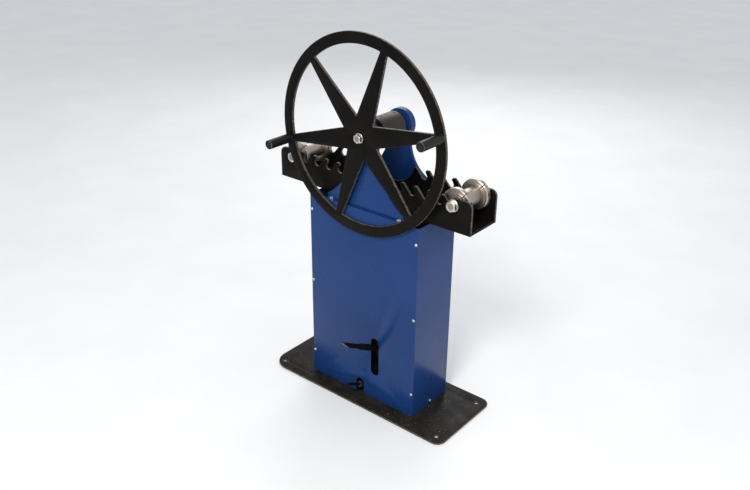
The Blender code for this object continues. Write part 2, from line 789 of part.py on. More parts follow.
def pump():
    barrel = [(0.0083, 0.110), (0.0140, 0.110), (0.0140, JACK_FLOOR), (0.0083, JACK_FLOOR)]
    place = (LEVER_X, PLUNGER_Y, 0)
    turned("pump_cylinder", barrel, place, (0, 0, 1), ENAMEL, COARSE, closed=True)

    top = PLUNGER_PIN_Z - 0.020
    profile = [(0, top), (0.008, top), (0.008, 0.070), (0, 0.070)]
    plunger = turned("pump_plunger", profile, place, (0, 0, 1), STEEL, COARSE)
    eye = box(
        "pump_plunger_eye",
        (LEVER_X - 0.004, PLUNGER_Y - 0.006, top - 0.002),
        (LEVER_X + 0.004, PLUNGER_Y + 0.006, PLUNGER_PIN_Z + 0.006),
        None,
        cutters,
    )
    cross_pin = turned(
        "pump_plunger_pin",
        [(0, 0.0095), (0.003, 0.0095), (0.003, -0.0095), (0, -0.0095)],
        (LEVER_X, PLUNGER_Y, PLUNGER_PIN_Z),
        (1, 0, 0),
        None,
        16,
        group=cutters,
    )
    joined(plunger, eye, cross_pin)
    moved_origin(plunger, place)

    cheek_out, cheek_in = 0.0145, 0.0105
    side = [
        *arc((PIVOT_Y, PIVOT_Z), 0.009, 0, 180, 8),
        (PIVOT_Y - 0.009, JACK_FLOOR),
        (PIVOT_Y + 0.009, JACK_FLOOR),
    ]
    hole = circle((PIVOT_Y, PIVOT_Z), 0.0043, 16)
    span = (LEVER_X - cheek_out, LEVER_X + cheek_out)
    bracket = plate("fulcrum_bracket", [side, hole], "YZ", span, ENAMEL)
    fork = box(
        "fulcrum_fork",
        (LEVER_X - cheek_in, PIVOT_Y - 0.020, 0.075),
        (LEVER_X + cheek_in, PIVOT_Y + 0.020, 0.180),
        None,
        cutters,
    )
    cut(bracket, fork)
    pin = [(0, 0.0160), (0.004, 0.0160), (0.004, -0.0155), (0, -0.0155)]
    turned("fulcrum_pin", pin, (LEVER_X, PIVOT_Y, PIVOT_Z), (1, 0, 0), ZINC, 16)


def lever_frame():
    """Places a piece drawn along the lever: its first axis points up the lever, to the front."""
    along = Vector((0, -math.cos(LEVER_SLOPE), math.sin(LEVER_SLOPE)))
    across = Vector((0, math.sin(LEVER_SLOPE), math.cos(LEVER_SLOPE)))
    sideways = along.cross(across)
    turn = Matrix((along, across, sideways)).transposed().to_4x4()
    return Matrix.Translation((LEVER_X, PIVOT_Y, PIVOT_Z)) @ turn


def onto_lever(*pieces):
    """Moves pieces that were drawn in the lever's own axes onto the lever."""
    for piece in pieces:
        piece.matrix_world = lever_frame() @ piece.matrix_world


def pump_lever():
    block_end, half = 0.062, 0.010
    outline = [*arc((0, 0), half, 90, 270, 10), (block_end, -half), (block_end, half)]
    pivot = circle((0, 0), 0.0043, 16)
    nearest, furthest, play = 0.0300, 0.0345, 0.0042
    pin_slot = arc((furthest, 0), play, -90, 90, 8) + arc((nearest, 0), play, 90, 270, 8)
    lever = plate("pump_lever", [outline, pivot, pin_slot], "XY", (-half, half), BLACK)
    fork = box("lever_fork", (0.0125, -0.020, -0.0046), (0.050, 0.020, 0.0046), None, cutters)
    pivot_end, along = (0, 0, 0), (1, 0, 0)
    tube_radius, socket_radius, socket_start, tube_end = 0.0105, 0.0081, 0.140, 0.183
    profile = [
        (0, tube_end),
        (tube_radius - 0.0007, tube_end),
        (tube_radius, tube_end - 0.0007),
        (tube_radius, block_end - 0.006),
        (0, block_end - 0.006),
    ]
    tube = turned("lever_tube", profile, pivot_end, along, None, COARSE, group=cutters)
    bore = [(0, 0.2), (socket_radius, 0.2), (socket_radius, socket_start), (0, socket_start)]
    socket = turned("lever_socket", bore, pivot_end, along, None, COARSE, group=cutters)
    joined(lever, tube)
    cut(lever, fork, socket)

    root, tip, bar = socket_start + 0.001, 0.2835, 0.0078
    profile = [(0, tip), (bar - 0.0015, tip), (bar, tip - 0.004), (bar, root), (0, root)]
    pedal = turned("pump_pedal", profile, pivot_end, along, BLACK, COARSE)
    off_cut = [(0.242, -bar - 0.001), (0.300, -0.028), (0.300, bar + 0.004), (tip, bar - 0.003)]
    wedge = plate("pedal_point", [off_cut], "XY", (-0.020, 0.020), None, cutters)
    cut(pedal, wedge)
    onto_lever(lever, fork, tube, socket, pedal, wedge)


base_plate()
case()
uprights()
bearings()
ties()
handwheel()
handles()
drive()
beam()
for roller_name, roller_side in (("left", -1), ("right", 1)):
    side_roller(roller_name, roller_side)
jack()
pump()
pump_lever()
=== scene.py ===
"""A manual three-roll profile bender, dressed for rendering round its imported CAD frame.

Each visible CAD node is replaced by a finer piece with rounded and worn edges. The pieces
inside the case keep their CAD shapes and get new materials. Metres, +Z up, +Y to the back.
"""

import json
import math
import random

import bmesh
import bpy
from mathutils import Matrix, Vector

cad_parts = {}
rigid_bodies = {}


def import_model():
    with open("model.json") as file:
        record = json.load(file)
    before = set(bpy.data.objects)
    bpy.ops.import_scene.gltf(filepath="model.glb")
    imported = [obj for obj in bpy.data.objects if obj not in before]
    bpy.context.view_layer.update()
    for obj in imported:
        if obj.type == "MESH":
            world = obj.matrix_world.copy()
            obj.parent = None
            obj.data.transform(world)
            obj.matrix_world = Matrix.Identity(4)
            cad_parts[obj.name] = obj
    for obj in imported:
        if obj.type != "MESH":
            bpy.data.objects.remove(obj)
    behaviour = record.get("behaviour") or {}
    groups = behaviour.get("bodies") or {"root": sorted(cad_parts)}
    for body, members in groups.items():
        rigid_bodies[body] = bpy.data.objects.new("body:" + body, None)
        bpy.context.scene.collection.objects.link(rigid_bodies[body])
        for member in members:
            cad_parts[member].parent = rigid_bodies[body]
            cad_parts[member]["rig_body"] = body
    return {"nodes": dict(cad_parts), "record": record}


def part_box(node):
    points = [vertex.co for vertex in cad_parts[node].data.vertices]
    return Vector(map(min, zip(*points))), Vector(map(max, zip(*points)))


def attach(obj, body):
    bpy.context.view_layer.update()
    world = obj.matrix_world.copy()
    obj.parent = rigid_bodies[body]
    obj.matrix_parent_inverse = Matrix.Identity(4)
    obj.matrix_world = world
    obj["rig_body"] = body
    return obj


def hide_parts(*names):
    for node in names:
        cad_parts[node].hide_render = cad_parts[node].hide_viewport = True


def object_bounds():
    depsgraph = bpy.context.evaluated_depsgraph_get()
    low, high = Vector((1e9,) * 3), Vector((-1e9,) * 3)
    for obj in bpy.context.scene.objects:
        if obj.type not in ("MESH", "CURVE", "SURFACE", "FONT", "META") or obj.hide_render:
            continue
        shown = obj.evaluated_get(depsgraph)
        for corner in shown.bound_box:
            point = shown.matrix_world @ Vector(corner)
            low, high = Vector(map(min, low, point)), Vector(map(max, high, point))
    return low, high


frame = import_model()
cad_low, cad_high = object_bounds()
random.seed(7)

Y = 1                                   # the axis from the front to the back
SLOT_OF = {row["node"]: row["material_slot"] for row in frame["record"]["subparts"]}
BODY_OF = {name: node["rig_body"] for name, node in frame["nodes"].items()}

FINE, MEDIUM, COARSE = 128, 64, 32      # segments round a circle
SHARP = math.radians(32)


def extent(node, axis):
    """The lowest and highest coordinate of a CAD node along one axis."""
    low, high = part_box(node)
    return low[axis], high[axis]


def middle(node):
    low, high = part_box(node)
    return (low + high) / 2


# ---------------------------------------------------------------- materials
class Finish:
    """A Principled material, with short ways to add the nodes of its pattern."""

    def __init__(self, name, colour, roughness, metallic=0.0, specular=0.5):
        self.material = bpy.data.materials.new(name)
        self.material.use_nodes = True
        self.tree = self.material.node_tree
        self.shader = self.tree.nodes["Principled BSDF"]
        self.place = self.tree.nodes.new("ShaderNodeTexCoord").outputs["Object"]
        self.set("Base Color", colour)
        self.set("Roughness", roughness)
        self.set("Metallic", metallic)
        self.set("Specular IOR Level", specular)

    def set(self, name, value):
        self.put(self.shader.inputs[name], value)

    def put(self, socket, value):
        if isinstance(value, bpy.types.NodeSocket):
            self.tree.links.new(value, socket)
        elif isinstance(value, tuple) and len(socket.default_value) == 4:
            socket.default_value = (*value, 1.0)
        else:
            socket.default_value = value

    def node(self, kind, values, **settings):
        made = self.tree.nodes.new("ShaderNode" + kind)
        for name, value in settings.items():
            setattr(made, name, value)
        for key, value in values.items():
            self.put(made.inputs[key], value)
        return made

    def noise(self, scale, detail=2.0, stretch=None, distortion=0.0):
        place = self.place
        if stretch is not None:
            place = self.node("Mapping", {"Vector": place, "Scale": Vector(stretch)}).outputs[0]
        values = {"Vector": place, "Scale": scale, "Detail": detail, "Distortion": distortion}
        return self.node("TexNoise", values).outputs["Fac"]

    def specks(self, scale, size):
        """One small spot in each cell of about a third of the cells."""
        cells = self.node("TexVoronoi", {"Vector": self.place, "Scale": scale, "Randomness": 1.0})
        spot = self.scaled(cells.outputs["Distance"], size, size * 0.6)
        chosen = self.scaled(cells.outputs["Color"], 0.62, 0.66)
        return self.node("Math", {0: spot, 1: chosen}, operation="MULTIPLY").outputs[0]

    def scaled(self, value, low, high, to_low=0.0, to_high=1.0):
        values = {"Value": value, "From Min": low, "From Max": high}
        values.update({"To Min": to_low, "To Max": to_high})
        return self.node("MapRange", values).outputs["Result"]

    def mixed(self, factor, first, second):
        return self.node("Mix", {0: factor, 6: first, 7: second}, data_type="RGBA").outputs[2]

    def bump(self, height, distance, strength=1.0):
        values = {"Height": height, "Distance": distance, "Strength": strength}
        normal = self.shader.inputs["Normal"]
        if normal.is_linked:
            values["Normal"] = normal.links[0].from_socket
        self.set("Normal", self.node("Bump", values).outputs["Normal"])


BLUE = (0.0068, 0.037, 0.152)
PALE_BLUE = (0.060, 0.105, 0.230)
GREY_FLECK = (0.30, 0.29, 0.27)
RUST = (0.045, 0.020, 0.012)
DUST = (0.060, 0.053, 0.045)
PALE_GRIT = (0.55, 0.50, 0.38)
DULL_GRIT = (0.30, 0.26, 0.20)
BARE_METAL = (0.12, 0.10, 0.080)
GRIME = (0.020, 0.017, 0.014)


def tinted(colour, red, green, blue):
    """The colour with each of its channels scaled."""
    return (colour[0] * red, colour[1] * green, colour[2] * blue)


def powder_coat(name, colour, wear, specular):
    """Satin powder coat: fine orange peel, cloudy colour, dust, and thin paint where it wears."""
    look = Finish(name, colour, 0.3, specular=specular)
    cloud = look.scaled(look.noise(5.0, 3.0), 0.35, 0.65)
    tone = look.mixed(cloud, tinted(colour, 0.86, 0.86, 0.86), colour)
    grain = look.scaled(look.noise(1500.0, 1.0), 0.2, 0.8, 0.0, 0.10)
    tone = look.mixed(grain, tone, PALE_BLUE)
    tone = look.mixed(look.specks(38.0, 0.035), tone, GREY_FLECK)
    if wear > 0:
        rubbed = look.scaled(look.noise(95.0, 4.0), 0.62 - wear, 0.80 - wear, 0.0, 0.75)
        tone = look.mixed(rubbed, tone, PALE_BLUE)
    look.set("Base Color", tone)
    look.set("Roughness", look.scaled(look.noise(14.0, 3.0), 0.3, 0.7, 0.20, 0.30))
    look.bump(look.noise(650.0, 2.0), 0.00012, 0.35)
    return look.material


def black_paint(name, wear, dust=0.0, rust=0.0, depth=0.0032, specular=0.06):
    """Satin black paint with brownish clouds; the wear bares grey-brown metal in patches.

    The depth is how much light the darkest paint gives back.
    """
    grey = (depth, depth, depth)
    deep = tinted(grey, 1.0, 0.95, 0.92)
    look = Finish(name, deep, 0.45, specular=specular)
    cloud = look.scaled(look.noise(9.0, 4.0, distortion=0.6), 0.38, 0.70)
    tone = look.mixed(cloud, deep, tinted(grey, 2.1, 1.8, 1.5))
    fine = look.scaled(look.noise(420.0, 3.0), 0.45, 0.75, 0.0, 0.4)
    tone = look.mixed(fine, tone, tinted(grey, 3.4, 2.9, 2.3))
    if rust > 0:
        patch = look.scaled(look.noise(17.0, 5.0, distortion=1.0), 0.60, 0.75, 0.0, rust)
        tone = look.mixed(patch, tone, RUST)
    if dust > 0:
        haze = look.scaled(look.noise(26.0, 6.0), 0.45, 0.80, 0.0, dust)
        tone = look.mixed(haze, tone, DUST)
        tone = look.mixed(look.specks(55.0, 0.075), tone, PALE_GRIT)
        tone = look.mixed(look.specks(120.0, 0.140), tone, DULL_GRIT)
    if wear > 0:
        bare = look.scaled(look.noise(130.0, 5.0), 0.66 - wear, 0.84 - wear)
        tone = look.mixed(bare, tone, BARE_METAL)
        look.set("Metallic", look.scaled(bare, 0.0, 1.0, 0.0, 0.25))
    look.set("Base Color", tone)
    look.set("Roughness", look.scaled(look.noise(30.0, 4.0), 0.3, 0.7, 0.36, 0.52))
    look.bump(look.noise(520.0, 3.0), 0.00015, 0.45)
    return look.material


def turned_metal(name, colour, roughness, ring=2600.0, stain=0.0, metallic=1.0):
    """Turned metal: fine tool marks round the Y axis, and faint brown stains."""
    look = Finish(name, colour, roughness, metallic)
    marks = look.noise(1.0, 3.0, stretch=(25.0, ring, 25.0))
    tone = look.mixed(look.scaled(marks, 0.30, 0.62), tinted(colour, 0.78, 0.78, 0.78), colour)
    smudge = look.scaled(look.noise(48.0, 5.0, distortion=0.8), 0.50, 0.80, 0.0, 0.15 + stain)
    tone = look.mixed(smudge, tone, tinted(colour, 0.50, 0.42, 0.34))
    look.set("Base Color", tone)
    look.set("Roughness", look.scaled(marks, 0.3, 0.7, roughness - 0.04, roughness + 0.06))
    look.bump(marks, 0.00002, 0.4)
    return look.material


def plated(name, colour, roughness):
    """Zinc plate: bright, with a faint warm bloom and fine pitting."""
    look = Finish(name, colour, roughness, 1.0)
    bloom = look.scaled(look.noise(160.0, 3.0), 0.35, 0.70)
    look.set("Base Color", look.mixed(bloom, colour, tinted(colour, 1.0, 0.93, 0.80)))
    pits = look.noise(700.0, 2.0)
    look.set("Roughness", look.scaled(pits, 0.3, 0.7, roughness - 0.06, roughness + 0.12))
    look.bump(look.noise(1300.0, 2.0), 0.00004, 0.5)
    return look.material


def enamel(name, colour):
    """Gloss enamel with oily grime."""
    look = Finish(name, colour, 0.32)
    grime = look.scaled(look.noise(40.0, 5.0), 0.48, 0.74, 0.0, 0.7)
    look.set("Base Color", look.mixed(grime, colour, GRIME))
    look.set("Roughness", look.scaled(grime, 0.0, 0.7, 0.30, 0.60))
    look.bump(look.noise(300.0, 3.0), 0.0002, 0.4)
    return look.material


# For each material slot of the record: the finish of its faces and that of their worn edges.
FINISHES = {
    "blue_paint": (
        powder_coat("blue_powder_coat", BLUE, 0.0, 0.18),
        powder_coat("blue_edge", BLUE, 0.14, 0.30),
    ),
    "black_paint": (black_paint("black_satin", 0.0), black_paint("black_edge", 0.20, depth=0.008)),
    "grip_black": (
        black_paint("grip_lacquer", 0.0, depth=0.005, specular=0.25),
        black_paint("grip_edge", 0.26, depth=0.014, specular=0.4),
    ),
    "machined_steel": (
        turned_metal("turned_steel", (0.49, 0.43, 0.375), 0.40),
        turned_metal("steel_edge", (0.64, 0.585, 0.52), 0.34),
    ),
    "dark_steel": (
        turned_metal("dark_turned_steel", (0.046, 0.039, 0.033), 0.50, 900.0, 0.3, 0.7),
        turned_metal("dark_steel_edge", (0.16, 0.145, 0.125), 0.42, 900.0, 0.0, 0.9),
    ),
    "zinc": (
        plated("zinc_plate", (0.62, 0.605, 0.58), 0.30),
        plated("zinc_edge", (0.72, 0.70, 0.68), 0.25),
    ),
    "bronze": (
        turned_metal("bearing_bronze", (0.50, 0.31, 0.13), 0.32),
        turned_metal("bronze_edge", (0.62, 0.42, 0.20), 0.26),
    ),
    "jack_enamel": (
        # Near black: the jack stands in the unlit inside of the case, and this colour paints the shade
        # there.
        enamel("jack_gloss", (0.010, 0.010, 0.011)),
        enamel("jack_edge", (0.022, 0.021, 0.020)),
    ),
}
# Finishes with a third material, for cut or recessed faces, and those of single pieces.
SIDE_BLUE = (powder_coat("side_blue", BLUE, 0.0, 0.25), FINISHES["blue_paint"][1])
# The sides of the wheel plate and the beam cheeks: worn bare in patches, and lighter all over (depth
# 0.040), which is a painted highlight where light catches them.
WORN_AND_LIT_SIDE_FINISH = (*FINISHES["black_paint"], black_paint("side_wear_and_painted_highlight", 0.22, depth=0.040))
BASE_FINISH = (
    black_paint("base_black", 0.0, dust=0.30, rust=0.40, depth=0.0085),
    black_paint("base_edge", 0.30, depth=0.030),
)
HEX_FINISH = (*FINISHES["zinc"], turned_metal("hex_dish", (0.36, 0.29, 0.25), 0.45, 700.0, 0.2, 0.9))
WORN_STEEL = turned_metal("worn_steel", (0.34, 0.31, 0.27), 0.42, 300.0, 0.5, 0.9)
# Near black: the walls of drilled holes, seats and slits take it as painted shade; the small socket
# screws take it as their own black.
SCREW_BLACK_AND_HOLE_SHADE = black_paint("screw_black_and_hole_shade", 0.0, depth=0.0030)


# ---------------------------------------------------------------- pieces and what they ride on
def dressed(obj, materials):
    """Gives the object these materials, and keeps which face takes which."""
    chosen = [face.material_index for face in obj.data.polygons]
    obj.data.materials.clear()
    for material in materials:
        obj.data.materials.append(material)
    for face, index in zip(obj.data.polygons, chosen):
        face.material_index = min(index, len(materials) - 1)


def attached(obj, body, slot, materials=None):
    """A new piece on a CAD body, in the finish of one of the record's material slots."""
    dressed(obj, materials or FINISHES[slot])
    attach(obj, body)
    return obj


def stands_for(obj, node, materials=None):
    """A new piece in the place of one CAD node."""
    attached(obj, BODY_OF[node], SLOT_OF[node], materials)
    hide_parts(node)
    return obj


def linked(name, mesh):
    obj = bpy.data.objects.new(name, mesh)
    bpy.context.scene.collection.objects.link(obj)
    return obj


def cleaned(mesh):
    """One closed skin with smooth shading and sharp edges where it turns."""
    shape = bmesh.new()
    shape.from_mesh(mesh)
    bmesh.ops.remove_doubles(shape, verts=shape.verts, dist=2e-6)
    bmesh.ops.recalc_face_normals(shape, faces=shape.faces)
    shape.to_mesh(mesh)
    shape.free()
    mesh.shade_smooth()
    mesh.set_sharp_from_angle(angle=SHARP)


# ---------------------------------------------------------------- outlines
def arc(centre, radius, start, end, steps):
    """Points on a circle from one angle to another, both ends included, in degrees."""
    points = []
    for i in range(steps + 1):
        angle = math.radians(start + (end - start) * i / steps)
        points.append((centre[0] + radius * math.cos(angle), centre[1] + radius * math.sin(angle)))
    return points


def circle(centre, radius, steps=MEDIUM):
    return arc(centre, radius, 0, 360, steps)[:-1]


def mirrored_loop(loop):
    return [(-u, v) for u, v in reversed(loop)]


def rounded_rectangle(low, high, right, left=None, steps=12):
    """A rectangle with round corners; the left-hand pair may have a radius of its own."""
    left = right if left is None else left
    return (
        arc((high[0] - right, high[1] - right), right, 0, 90, steps)
        + arc((low[0] + left, high[1] - left), left, 90, 180, steps)
        + arc((low[0] + left, low[1] + left), left, 180, 270, steps)
        + arc((high[0] - right, low[1] + right), right, 270, 360, steps)
    )


def softened(points, radius, closed=False, steps=3):
    """The line with each corner rounded, as far as its two sides leave room."""
    soft = []
    count = len(points)
    for i, point in enumerate(points):
        if not closed and i in (0, count - 1):
            soft.append(point)
            continue
        corner = Vector(point)
        before = Vector(points[i - 1]) - corner
        after = Vector(points[(i + 1) % count]) - corner
        reach = min(radius, before.length * 0.45, after.length * 0.45)
        start = corner + before.normalized() * reach
        end = corner + after.normalized() * reach
        for k in range(steps + 1):
            t = k / steps
            soft.append(tuple(start * (1 - t) ** 2 + corner * 2 * t * (1 - t) + end * t**2))
    return soft


# ---------------------------------------------------------------- shapes
PLANES = {
    "XZ": Matrix(((1, 0, 0), (0, 0, -1), (0, 1, 0))),
    "XY": Matrix.Identity(3),
    "YZ": Matrix(((0, 0, 1), (1, 0, 0), (0, 1, 0))),
}


def plate(name, loops, plane, span, ease=0.0006, edge_sides=False):
    """A plate with eased edges: the first loop is its outline, the others are its holes.

    The eased edges take the piece's second material. If edge_sides is set, the sides take its
    third one.
    """
    curve = bpy.data.curves.new(name, "CURVE")
    curve.dimensions = "2D"
    curve.fill_mode = "BOTH"
    curve.extrude = (span[1] - span[0]) / 2 - ease
    curve.bevel_depth = ease
    curve.bevel_resolution = 1
    curve.offset = -ease
    for loop in loops:
        spline = curve.splines.new("POLY")
        spline.points.add(len(loop) - 1)
        for point, (u, v) in zip(spline.points, loop):
            point.co = (u, v, 0.0, 1.0)
        spline.use_cyclic_u = True
    source = linked(name + "_outline", curve)
    bpy.context.view_layer.update()
    mesh = bpy.data.meshes.new_from_object(source.evaluated_get(bpy.context.evaluated_depsgraph_get()))
    bpy.data.objects.remove(source, do_unlink=True)
    half = (span[0] + span[1]) / 2
    offset = {"XZ": (0, half, 0), "XY": (0, 0, half), "YZ": (half, 0, 0)}[plane]
    turn = PLANES[plane].to_4x4()
    mesh.transform(Matrix.Translation(offset) @ turn)
    cleaned(mesh)
    across = turn.to_3x3() @ Vector((0, 0, 1))
    for face in mesh.polygons:
        facing = abs(face.normal.dot(across))
        face.material_index = 2 * edge_sides if facing <= 0.05 else int(facing < 0.98)
    return linked(name, mesh)


def placement(place, axis):
    turn = Vector((0, 0, 1)).rotation_difference(Vector(axis).normalized())
    return Matrix.Translation(place) @ turn.to_matrix().to_4x4()


def swept(name, rings, closed=False):
    """A skin over rings of points; a ring of one point closes an end."""
    shape = bmesh.new()
    loops = [[shape.verts.new(point) for point in ring] for ring in rings]
    pairs = list(zip(loops, loops[1:]))
    if closed:
        pairs.append((loops[-1], loops[0]))
    for upper, lower in pairs:
        for i in range(max(len(upper), len(lower))):
            corners = (
                upper[i % len(upper)],
                lower[i % len(lower)],
                lower[(i + 1) % len(lower)],
                upper[(i + 1) % len(upper)],
            )
            corners = tuple(dict.fromkeys(corners))
            if len(corners) > 2:
                shape.faces.new(corners)
    mesh = bpy.data.meshes.new(name)
    shape.to_mesh(mesh)
    shape.free()
    cleaned(mesh)
    return linked(name, mesh)


def turned(name, profile, place, axis, steps=MEDIUM, closed=False, ease=0.0006):
    """A turned piece: (radius, height) points, with eased corners, swept round the axis."""
    to_world = placement(place, axis)
    rings = []
    for radius, height in softened(profile, ease, closed):
        if radius < 1e-6:
            rings.append([to_world @ Vector((0, 0, height))])
            continue
        turns = [2 * math.pi * i / steps for i in range(steps)]
        rings.append(
            [to_world @ Vector((radius * math.cos(a), radius * math.sin(a), height)) for a in turns]
        )
    return swept(name, rings, closed)


def hex_head(name, place, axis, across_flats, height, turn=30.0, dish=0.0008):
    """A forged hexagon head with a chamfered crown and a shallow dish in its top.

    The dish takes the piece's third material, if it has one.
    """
    to_world = placement(place, axis)
    flat = across_flats / 2
    crown = flat * 0.93
    dish_rim, dish_floor = crown * 0.76, crown * 0.70
    chamfer_slope, ease, steps = 0.55, 0.0003, 72

    def hexagon(angle):
        sector = (math.degrees(angle) - turn) % 60 - 30
        return flat / math.cos(math.radians(sector))

    def ring(radius_of, height_of):
        points = []
        for i in range(steps):
            angle = 2 * math.pi * i / steps
            radius = radius_of(angle)
            x, y = radius * math.cos(angle), radius * math.sin(angle)
            points.append(to_world @ Vector((x, y, height_of(radius))))
        return points

    def fall(radius):
        return height - max(0.0, radius - crown) * chamfer_slope

    rings = [
        [to_world @ Vector((0, 0, 0))],
        ring(lambda a: hexagon(a) - ease, lambda r: 0.0),
        ring(hexagon, lambda r: ease),
        ring(hexagon, lambda r: fall(r) - 0.0002),
        ring(lambda a: hexagon(a) - 0.0002, fall),
        ring(lambda a: crown, lambda r: height),
        ring(lambda a: dish_rim, lambda r: height),
        ring(lambda a: dish_floor, lambda r: height - dish),
        [to_world @ Vector((0, 0, height - dish * 1.1))],
    ]
    made = swept(name, rings)
    top = to_world.translation + to_world.to_3x3() @ Vector((0, 0, height))
    for face in made.data.polygons:
        if len(face.vertices) == 3 and (face.center - top).length < dish_rim:
            face.material_index = 2
    return made


def merged(name, *objects):
    """Several meshes as one object."""
    shape = bmesh.new()
    for obj in objects:
        shape.from_mesh(obj.data)
        mesh = obj.data
        bpy.data.objects.remove(obj, do_unlink=True)
        bpy.data.meshes.remove(mesh)
    mesh = bpy.data.meshes.new(name)
    shape.to_mesh(mesh)
    shape.free()
    return linked(name, mesh)


def drilled(obj, *cutters):
    """The object with the cutters taken out of it; what they bare takes the third material."""
    for piece in (obj, *cutters):
        for _ in range(3):
            piece.data.materials.append(None)
    for cutter in cutters:
        for face in cutter.data.polygons:
            face.material_index = 2
        modifier = obj.modifiers.new("hole", "BOOLEAN")
        modifier.operation = "DIFFERENCE"
        modifier.solver = "EXACT"
        modifier.object = cutter
    bpy.context.view_layer.update()
    mesh = bpy.data.meshes.new_from_object(obj.evaluated_get(bpy.context.evaluated_depsgraph_get()))
    obj.modifiers.clear()
    obj.data = mesh
    for cutter in cutters:
        bpy.data.objects.remove(cutter, do_unlink=True)
    mesh.shade_smooth()
    mesh.set_sharp_from_angle(angle=SHARP)
    return obj


def drill(place, axis, radius, depth):
    """A cutter that goes in at the place, against the axis."""
    above = 0.01
    profile = [(0, above), (radius, above), (radius, -depth), (0, -depth)]
    return turned("drill", profile, place, axis, COARSE, ease=0)


def weld_bead(name, start, end, radius):
    """A rippled bead along a straight joint."""
    start, end = Vector(start), Vector(end)
    along = (end - start).normalized()
    side = along.cross(Vector((0, 0, 1))).normalized()
    up = side.cross(along)
    pitch = 0.0022
    count = int((end - start).length / (pitch / 3))
    rings = [[start]]
    for i in range(1, count):
        ripple = 0.86 + 0.14 * math.sin(2 * math.pi * (i % 3) / 3 + 0.6) + random.uniform(-0.05, 0.05)
        taper = min(1.0, i / 4, (count - i) / 4)
        centre = start.lerp(end, i / count)
        size = radius * ripple * taper
        rings.append(
            [
                centre + (side * math.cos(a) + up * math.sin(a)) * size
                for a in (2 * math.pi * k / 10 for k in range(10))
            ]
        )
    rings.append([end])
    return swept(name, rings)


# ---------------------------------------------------------------- base and case
ANCHOR_RADIUS, ANCHOR_X, ANCHOR_Y = 0.0065, 0.327, (-0.120, 0.105)
BASE_RIGHT_CORNER, BASE_LEFT_CORNER = 0.030, 0.062
SHEET, LIP = 0.002, 0.024               # the case's sheet, and the folded lips of its sides
SLIP = 0.0005                           # between the front sheet's fold and what is round it


def base_plate():
    """The plate on the floor, with four anchor holes."""
    low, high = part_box("base_plate")
    outline = rounded_rectangle(low[:2], high[:2], BASE_RIGHT_CORNER, BASE_LEFT_CORNER)
    holes = [circle((side * ANCHOR_X, y), ANCHOR_RADIUS, COARSE) for side in (-1, 1) for y in ANCHOR_Y]
    made = plate("base_sheet", [outline, *holes], "XY", (low.z, high.z), 0.0007, edge_sides=True)
    stands_for(made, "base_plate", BASE_FINISH)


def front_sheet():
    """The front of the case, with the pump's slot, the valve's arch and a fold at its top."""
    low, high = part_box("front_panel")
    valve_x, arch_half, arch_top = -0.005, 0.016, 0.060
    lever_x, slot_half, slot_low, slot_high = 0.056, 0.016, 0.098, 0.236
    front = [
        (high.x, low.z),
        (high.x, high.z),
        (low.x, high.z),
        (low.x, low.z),
        (valve_x - arch_half, low.z),
        *arc((valve_x, arch_top - arch_half), arch_half, 180, 0, 24),
        (valve_x + arch_half, low.z),
    ]
    slot = rounded_rectangle(
        (lever_x - slot_half, slot_low), (lever_x + slot_half, slot_high), slot_half - 0.0002
    )
    made = plate("front_sheet", [front, slot], "XZ", (low.y, low.y + SHEET), 0.0004)
    bolt_x, notch = middle("right_tie_bolt").x, 0.0095
    fold_end, notch_front = high.x - LIP - SLIP, low.y + SHEET + 0.0002
    fold = [
        (fold_end, low.y + SHEET / 2),
        (fold_end, high.y),
        (bolt_x + notch, high.y),
        (bolt_x + notch, notch_front),
        (bolt_x - notch, notch_front),
        (bolt_x - notch, high.y),
    ]
    span = (high.z - SHEET - SLIP, high.z - SLIP)
    fold_plate = plate("fold", [fold + mirrored_loop(fold)], "XY", span, 0.0002)
    stands_for(merged("front_sheet_folded", made, fold_plate), "front_panel")


def back_sheet():
    low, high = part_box("back_panel")
    back = [(low.x, low.z), (high.x, low.z), (high.x, high.z), (low.x, high.z)]
    stands_for(plate("back_sheet", [back], "XZ", (low.y, high.y), 0.0004), "back_panel")


def side_sheet(name, sign):
    """A side of the case: a channel whose lips lie behind the front and back sheets."""
    node = f"{name}_side_panel"
    low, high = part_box(node)
    outer = high.x if sign > 0 else -low.x
    reach = high.y
    channel = [
        (outer, -reach),
        (outer, reach),
        (outer - LIP, reach),
        (outer - LIP, reach - SHEET),
        (outer - SHEET, reach - SHEET),
        (outer - SHEET, SHEET - reach),
        (outer - LIP, SHEET - reach),
        (outer - LIP, -reach),
    ]
    if sign < 0:
        channel = mirrored_loop(channel)
    made = plate(f"{name}_side_sheet", [channel], "XY", (low.z, high.z), 0.0004)
    stands_for(made, node, SIDE_BLUE)


def pan_screw(name, place, axis, body, size=0.005):
    """A zinc pan-head screw with a small hexagon socket."""
    head = [
        (0, 0.0005),
        (size * 0.34, 0.0005),
        (size * 0.36, 0.0026),
        (size * 0.70, 0.0024),
        (size * 0.96, 0.0013),
        (size, 0.0003),
        (size, 0.0),
        (0, 0.0),
    ]
    attached(turned(name, head, place, axis, COARSE, ease=0.0002), body, "zinc")


def case_screws():
    """Three screws along each upright edge of the front and the back, and one at each foot."""
    low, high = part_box("front_panel")
    back_y = extent("back_panel", Y)[1]
    inset = 0.007
    for row, z in enumerate((0.090, 0.361, 0.614)):
        for name, x in (("left", low.x + inset), ("right", high.x - inset)):
            pan_screw(f"{name}_front_screw_{row}", (x, low.y - 0.0001, z), (0, -1, 0), "frame")
            pan_screw(f"{name}_back_screw_{row}", (x, back_y + 0.0001, z), (0, 1, 0), "frame")
    for name, x, way in (("left", low.x, -1), ("right", high.x, 1)):
        pan_screw(f"{name}_foot_screw", (x + way * 0.0001, 0.004, 0.017), (way, 0, 0), "frame")


# ---------------------------------------------------------------- uprights
SHAFT_Z = middle("centre_roller").z


